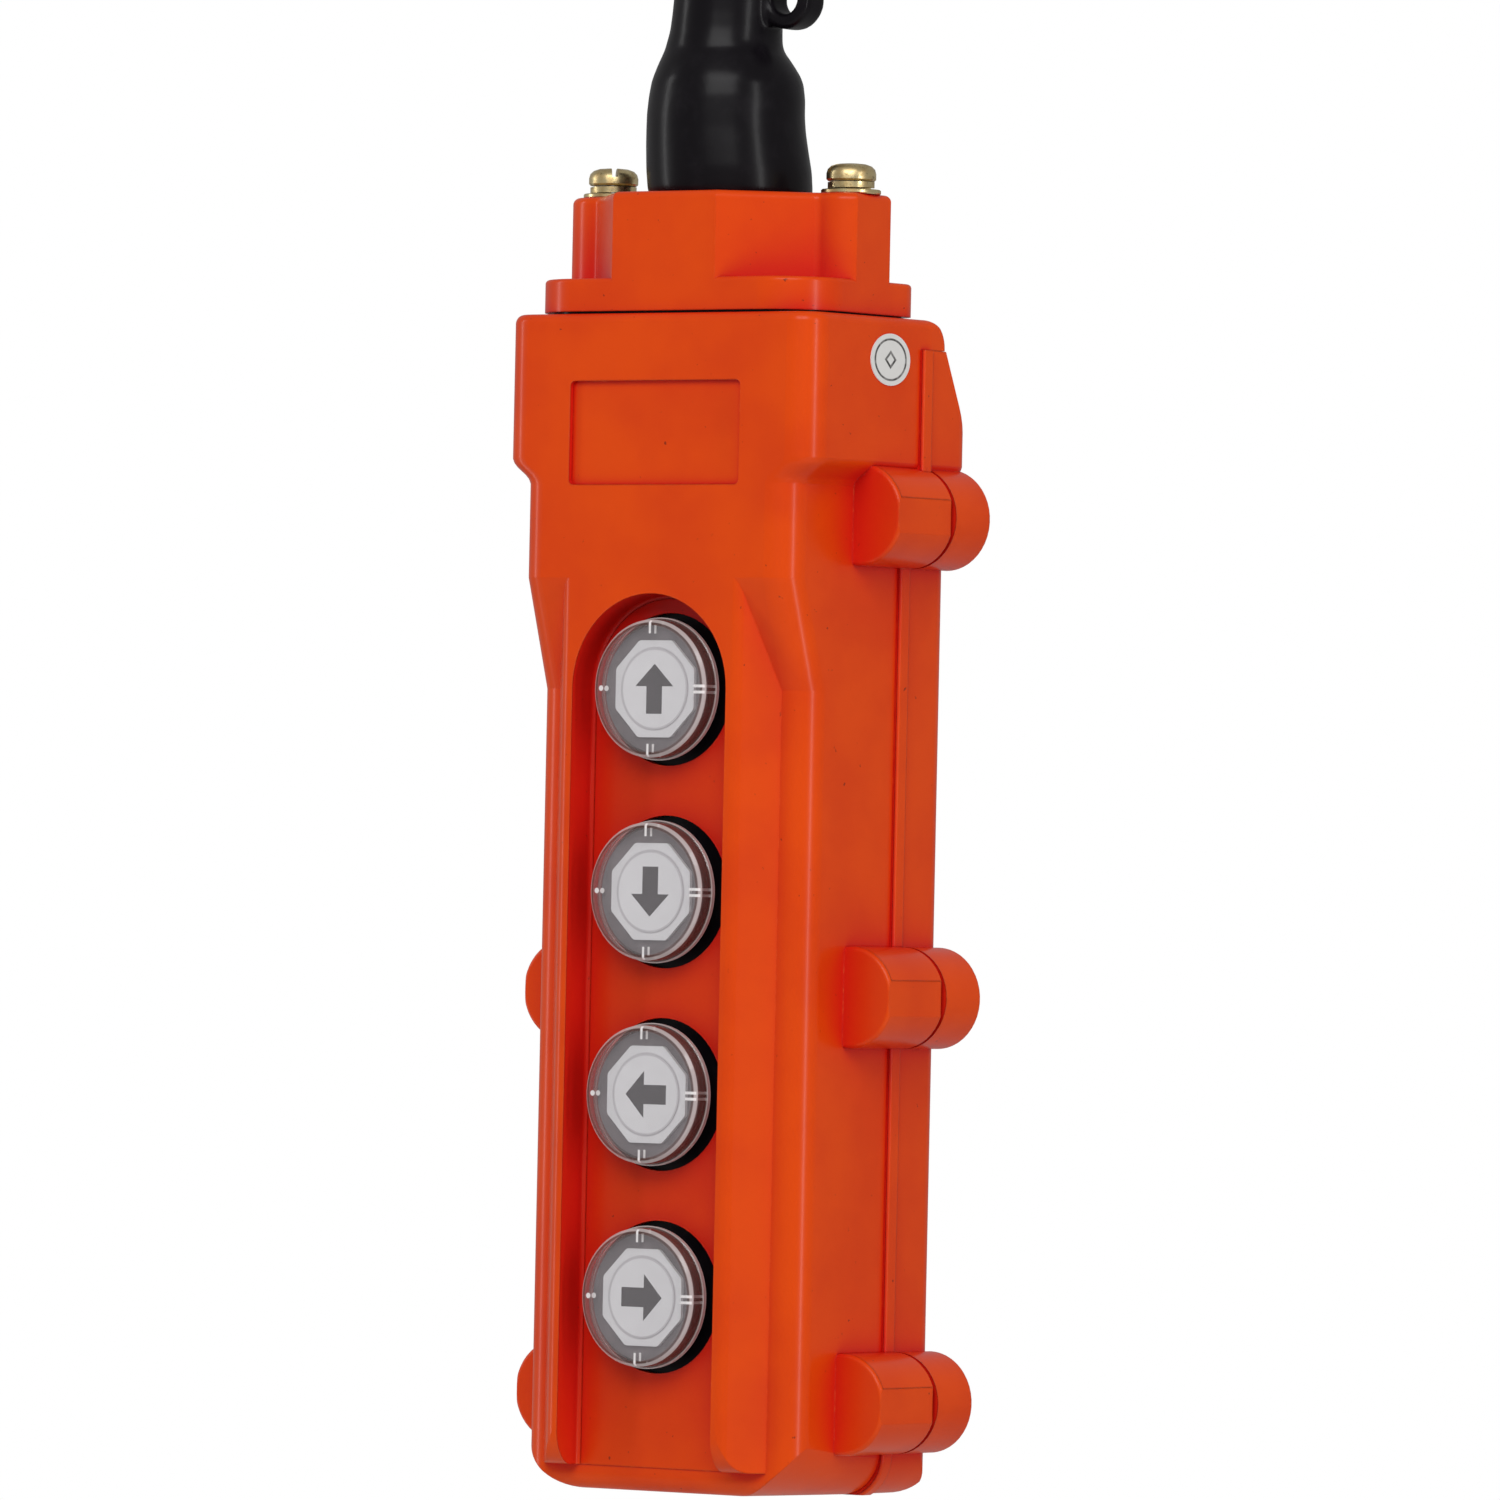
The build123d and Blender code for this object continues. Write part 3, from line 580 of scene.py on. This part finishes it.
def bootEye(foot, reach):
    centre = foot + Vector((reach, 0, bootSet["eyeHeight"] * mm))
    section = [(radius * mm, height * mm) for radius, height in bootSet["eyeSection"]]
    vertices, faces = spun(section, bootSet["eyeSegments"])
    eye = [centre + Vector((v.x, v.z, v.y)) for v in vertices]
    # solid web that joins the eye to the neck
    corners, webFaces = boxBetween(*[(-half, half) for half in bootSet["web"]])
    middle = centre - Vector((bootSet["eyeRadius"] * mm, 0, 0))
    web = [middle + corner * mm for corner in corners]
    return [(eye, faces), (web, webFaces)]


def makeBoot():
    low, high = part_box("cable_boot")
    foot = Vector((0, 0, low.z))
    eyeReach = high.x - bootSet["eyeRadius"] * mm
    vertices, faces = joined([bootBody(foot)] + bootEye(foot, eyeReach))
    rough = outward(meshObject("boot", vertices, faces, finishes["black_rubber"]))
    remesh = rough.modifiers.new("remesh", "REMESH")
    remesh.mode = "VOXEL"
    remesh.voxel_size = bootSet["voxel"] * mm
    remesh.use_smooth_shade = True
    smooth = rough.modifiers.new("smooth", "SMOOTH")
    smooth.iterations = bootSet["smoothing"]
    boot = plainCopy(rough)
    for vertex in boot.data.vertices:
        vertex.co.z = min(max(vertex.co.z, low.z), high.z)
    if not boot.data.materials:
        boot.data.materials.append(finishes["black_rubber"])
    boot.name = "rubberBoot"
    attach(boot, "housing")
    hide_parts("cable_boot")


makeBoot()
print("boot made")


# screws
def screwTree():
    # the source object on every place, turned by its own angle and a little at random
    tree = bpy.data.node_groups.new("repeatOnPlaces", "GeometryNodeTree")
    sockets = {}
    for name, kind in (("Places", "Geometry"), ("Source", "Object"), ("Tilt", "Vector"),
                       ("Jitter", "Float"), ("Seed", "Int"), ("Finish", "Material")):
        sockets[name] = tree.interface.new_socket(name, in_out="INPUT", socket_type="NodeSocket" + kind)
    tree.interface.new_socket("Result", in_out="OUTPUT", socket_type="NodeSocketGeometry")
    given = tree.nodes.new("NodeGroupInput")
    result = tree.nodes.new("NodeGroupOutput")
    source = tree.nodes.new("GeometryNodeObjectInfo")
    turn = tree.nodes.new("GeometryNodeInputNamedAttribute")
    turn.data_type = "FLOAT"
    turn.inputs["Name"].default_value = "turn"
    chance = tree.nodes.new("FunctionNodeRandomValue")
    total = tree.nodes.new("ShaderNodeMath")
    scaled = tree.nodes.new("ShaderNodeMath")
    scaled.operation = "MULTIPLY"
    spin = tree.nodes.new("ShaderNodeCombineXYZ")
    onPlaces = tree.nodes.new("GeometryNodeInstanceOnPoints")
    turned = tree.nodes.new("GeometryNodeRotateInstances")
    turned.inputs["Local Space"].default_value = True
    realized = tree.nodes.new("GeometryNodeRealizeInstances")
    finished = tree.nodes.new("GeometryNodeSetMaterial")
    links = [
        (given.outputs["Source"], source.inputs["Object"]),
        (given.outputs["Seed"], chance.inputs["Seed"]),
        (chance.outputs[1], scaled.inputs[0]),
        (given.outputs["Jitter"], scaled.inputs[1]),
        (turn.outputs["Attribute"], total.inputs[0]),
        (scaled.outputs[0], total.inputs[1]),
        (total.outputs[0], spin.inputs["Z"]),
        (given.outputs["Places"], onPlaces.inputs["Points"]),
        (source.outputs["Geometry"], onPlaces.inputs["Instance"]),
        (given.outputs["Tilt"], onPlaces.inputs["Rotation"]),
        (onPlaces.outputs[0], turned.inputs["Instances"]),
        (spin.outputs[0], turned.inputs["Rotation"]),
        (turned.outputs[0], realized.inputs[0]),
        (realized.outputs[0], finished.inputs["Geometry"]),
        (given.outputs["Finish"], finished.inputs["Material"]),
        (finished.outputs[0], result.inputs["Result"]),
    ]
    for start, end in links:
        tree.links.new(start, end)
    return tree, {name: socket.identifier for name, socket in sockets.items()}


repeatTree, repeatSockets = screwTree()


def repeated(name, source, places, turns, values):
    host = meshObject(name + "Places", places, [], values["Finish"])
    attribute = host.data.attributes.new("turn", "FLOAT", "POINT")
    for index, turn in enumerate(turns):
        attribute.data[index].value = math.radians(turn)
    modifier = host.modifiers.new("repeat", "NODES")
    modifier.node_group = repeatTree
    modifier[repeatSockets["Source"]] = source
    for key, value in values.items():
        modifier[repeatSockets[key]] = value
    made = plainCopy(host)
    bpy.data.objects.remove(source)
    made.name = name
    return made


def slotted(item, width, depth, top, length):
    # slot cut across the head
    half = width / 2
    block = boxBetween((-length, length), (-half, half), (top - depth, top + depth))
    cutter = outward(meshObject("slotCutter", *block, item.data.materials[0]))
    cut = item.modifiers.new("slot", "BOOLEAN")
    cut.operation = "DIFFERENCE"
    cut.solver = "EXACT"
    cut.object = cutter
    made = plainCopy(item)
    bpy.data.objects.remove(cutter)
    return made


def panHead(radius, height, low):
    # domed head that stands on low, spun as a ring with a hair-thin hole on its axis
    axle = radius * 0.002
    rise = [(0.93, 0.0), (1.0, 0.10), (1.0, 0.42), (0.95, 0.66), (0.82, 0.84), (0.60, 0.95), (0.30, 0.99)]
    outline = [(axle, low)] + [(radius * r, low + height * h) for r, h in rise] + [(axle, low + height)]
    return spun(outline)


def splitRing(inner, outer, thick, low, gap=14.0, rise=0.35):
    # spring washer: a square wire that climbs a little and doesn't close
    segments = 60
    vertices, faces = [], []
    for step in range(segments + 1):
        share = step / segments
        angle = math.radians(gap / 2 + (360 - gap) * share)
        lift = low + rise * thick * share
        for radius, height in ((inner, lift), (outer, lift), (outer, lift + thick), (inner, lift + thick)):
            vertices.append(Vector((radius * math.cos(angle), radius * math.sin(angle), height)))
    for step in range(segments):
        for side in range(4):
            after = (side + 1) % 4
            faces.append((step * 4 + side, step * 4 + after, step * 4 + 4 + after, step * 4 + 4 + side))
    end = segments * 4
    faces += [(0, 1, 2, 3), (end + 3, end + 2, end + 1, end)]
    return vertices, faces


def washer(inner, outer, thick, low, edge):
    outline = [(inner, low), (outer - edge, low), (outer, low + edge), (outer, low + thick - edge),
               (outer - edge, low + thick), (inner, low + thick)]
    return spun(outline)


capScrewSet = {
    # millimetres and degrees; a washer is its bore and outer radii and its thickness
    "head": (4.9, 3.5),
    "flatWasher": (2.3, 5.9, 0.9),
    "springWasher": (2.4, 4.6, 1.15),
    "springRise": 1.4,    # height of the loaded washer, as a share of its wire
    "clearance": 0.05,
    "fromEdge": 6.0,
    "slot": (1.2, 1.9),
    "turns": [126.0, 60.0],
    "jitter": 0.10,
    "seed": 4,
}


def makeCapScrews():
    # pan head over a spring washer over a flat washer
    finish = finishes["yellow_zinc"]
    radius, height = (value * mm for value in capScrewSet["head"])
    flat = [value * mm for value in capScrewSet["flatWasher"]]
    spring = [value * mm for value in capScrewSet["springWasher"]]
    springLow = flat[2] + capScrewSet["clearance"] * mm
    headLow = springLow + spring[2] * capScrewSet["springRise"]
    head = outward(meshObject("capHead", *panHead(radius, height, headLow), finish))
    width, depth = (value * mm for value in capScrewSet["slot"])
    head = slotted(head, width, depth, headLow + height, 2 * radius)
    washers = joined([washer(*flat[:2], flat[2], 0.0, 0.2 * mm), splitRing(*spring, springLow)])
    rings = outward(meshObject("capWashers", *washers, finish))
    source = meshObject("capFastener", *joined([meshParts(head), meshParts(rings)]), finish)
    for item in (head, rings):
        bpy.data.objects.remove(item)
    outward(source, 30.0)
    low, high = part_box("cap_flat_washers")
    reach = high.x - capScrewSet["fromEdge"] * mm
    places = [Vector((side * reach, (low.y + high.y) / 2, low.z)) for side in (-1, 1)]
    values = {"Tilt": (0.0, 0.0, 0.0), "Jitter": capScrewSet["jitter"],
              "Seed": capScrewSet["seed"], "Finish": finish}
    screws = repeated("capFasteners", source, places, capScrewSet["turns"], values)
    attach(screws, "housing")
    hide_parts("cap_screws", "cap_flat_washers", "cap_spring_washers")


coverScrewSet = {
    "head": (3.5, 2.5),
    "slot": (0.9, 1.1),
    "jitter": 3.1,
    "seed": 11,
}


def makeCoverScrews():
    # six slotted heads in the counterbores of the back cover
    finish = finishes["zinc_steel"]
    radius, height = (value * mm for value in coverScrewSet["head"])
    width, depth = (value * mm for value in coverScrewSet["slot"])
    head = outward(meshObject("coverHead", *panHead(radius, height, 0.0), finish), 30.0)
    head = slotted(head, width, depth, height, 2 * radius)
    low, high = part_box("cover_screws")
    half = (high.x - low.x) / 2 - radius
    middle = (lowestCap.z + middleOf("clear_cap_up").z) / 2
    places = [Vector((side * half, high.y - height, z))
              for z in (low.z + radius, middle, high.z - radius) for side in (-1, 1)]
    values = {"Tilt": (math.radians(-90.0), 0.0, 0.0), "Jitter": coverScrewSet["jitter"],
              "Seed": coverScrewSet["seed"], "Finish": finish}
    screws = repeated("coverFasteners", head, places, [0.0] * len(places), values)
    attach(screws, "housing")
    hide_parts("cover_screws")


makeCapScrews()
makeCoverScrews()
print("screws made")


# return springs
springSet = {
    "radius": 3.0,      # of the coil's middle, in millimetres
    "wire": 0.4,        # radius of the wire
    "turns": 6.5,
    "flatEnds": 0.09,   # how far the pitch closes up at both ends
    "around": 10,
    "along": 26,        # steps in one turn
}


def springMesh(middle, start, end):
    # coil along y with flat end turns
    wire, radius = springSet["wire"] * mm, springSet["radius"] * mm
    count = int(springSet["turns"] * springSet["along"])
    vertices = []
    for step in range(count + 1):
        share = step / count
        eased = share - springSet["flatEnds"] * math.sin(2 * math.pi * share)
        angle = 2 * math.pi * springSet["turns"] * share
        out = Vector((math.cos(angle), 0, math.sin(angle)))
        height = start + wire + (end - start - 2 * wire) * eased
        centre = Vector((middle.x, height, middle.z)) + out * radius
        for point in range(springSet["around"]):
            around = 2 * math.pi * point / springSet["around"]
            vertices.append(centre + (out * math.cos(around) + Vector((0, 1, 0)) * math.sin(around)) * wire)
    faces = gridFaces(count + 1, springSet["around"])
    faces.append(tuple(range(springSet["around"])))
    faces.append(tuple(len(vertices) - 1 - index for index in range(springSet["around"])))
    return vertices, faces


def makeSprings():
    for direction in directions:
        node = "return_spring_" + direction
        low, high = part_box(node)
        vertices, faces = springMesh((low + high) / 2, low.y, high.y)
        spring = meshObject("spring_" + direction, vertices, faces, finishes["spring_steel"])
        outward(spring, 60.0)
        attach(spring, "housing")
        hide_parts(node)
        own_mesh(spring)


makeSprings()
print("springs made")


# camera, light and floor
cameraSet = {
    "turn": 36.0,        # degrees round to the object's right
    "pitch": 0.69,
    "roll": 1.2,
    "lens": 298.0,
    "sensor": 36.0,
    "distance": 2.45,
    "right": 4.5 * mm,   # aim, off the middle of the object
    "up": -8.0 * mm,
}


def makeCamera():
    turn, pitch = math.radians(cameraSet["turn"]), math.radians(cameraSet["pitch"])
    forward = Vector((-math.sin(turn) * math.cos(pitch), math.cos(turn) * math.cos(pitch), math.sin(pitch)))
    right = Vector((math.cos(turn), math.sin(turn), 0.0))
    aim = (cadLow + cadHigh) / 2 + right * cameraSet["right"] + Vector((0, 0, cameraSet["up"]))
    camera = bpy.data.objects.new("camera", bpy.data.cameras.new("camera"))
    camera.data.lens = cameraSet["lens"]
    camera.data.sensor_width = cameraSet["sensor"]
    camera.data.clip_end = 200.0
    level = forward.to_track_quat("-Z", "Y").to_matrix()
    rolled = level @ Matrix.Rotation(math.radians(cameraSet["roll"]), 3, "Z")
    camera.matrix_world = Matrix.Translation(aim - forward * cameraSet["distance"]) @ rolled.to_4x4()
    scene.collection.objects.link(camera)
    scene.camera = camera


lightSet = {
    # azimuth and height in degrees, distance, width, tall in metres, power in watts
    "keyBox": (26.0, 34.0, 1.5, 1.1, 0.8, 12.0),
    "leftBox": (-64.0, 6.0, 1.4, 0.10, 1.3, 4.2),
    "rightBox": (80.0, 2.0, 1.4, 0.09, 1.3, 5.2),
}


def makeLights():
    middle = (cadLow + cadHigh) / 2
    for name, (azimuth, height, distance, width, tall, power) in lightSet.items():
        lamp = bpy.data.lights.new(name, "AREA")
        lamp.shape = "RECTANGLE"
        lamp.size = width
        lamp.size_y = tall
        lamp.energy = power
        turn, rise = math.radians(azimuth), math.radians(height)
        away = Vector((math.sin(turn) * math.cos(rise), -math.cos(turn) * math.cos(rise), math.sin(rise)))
        box = bpy.data.objects.new(name, lamp)
        facing = (-away).to_track_quat("-Z", "Y").to_matrix().to_4x4()
        box.matrix_world = Matrix.Translation(middle + away * distance) @ facing
        scene.collection.objects.link(box)


worldSet = {
    "seen": 1.0,
    "fill": 0.34,
}


def makeWorld():
    # plain white behind the object, and a dimmer white that lights it
    world = bpy.data.worlds.new("studio")
    world.use_nodes = True
    scene.world = world
    tree = world.node_tree
    seen = tree.nodes.new("ShaderNodeBackground")
    seen.inputs["Strength"].default_value = worldSet["seen"]
    seen.inputs["Color"].default_value = colour(1.0, 1.0, 1.0)
    fill = tree.nodes["Background"]
    fill.inputs["Color"].default_value = colour(1.0, 1.0, 1.0)
    fill.inputs["Strength"].default_value = worldSet["fill"]
    rays = tree.nodes.new("ShaderNodeLightPath")
    mixed = tree.nodes.new("ShaderNodeMixShader")
    tree.links.new(rays.outputs["Is Camera Ray"], mixed.inputs[0])
    tree.links.new(fill.outputs[0], mixed.inputs[1])
    tree.links.new(seen.outputs[0], mixed.inputs[2])
    tree.links.new(mixed.outputs[0], tree.nodes["World Output"].inputs["Surface"])
    scene.view_settings.view_transform = "Standard"


floorSet = {
    "reach": 3.0,    # half width in metres
    "drop": 0.5,     # below the object's lowest point
}


def makeFloor():
    reach = floorSet["reach"]
    low = cadLow.z - floorSet["drop"]
    corners = [Vector((-reach, -reach, low)), Vector((reach, -reach, low)),
               Vector((reach, reach, low)), Vector((-reach, reach, low))]
    finish = Finish("paleFloor")
    cast = finish.noise(finish.place(), 3.0)
    pale = finish.mix(cast, colour(0.80, 0.80, 0.80), colour(0.84, 0.84, 0.84))
    floor = meshObject("floor", corners, [(0, 1, 2, 3)], finish.surface(Base_Color=pale, Roughness=0.9))


makeCamera()
makeLights()
makeWorld()
makeFloor()
print("camera, lights and floor placed")
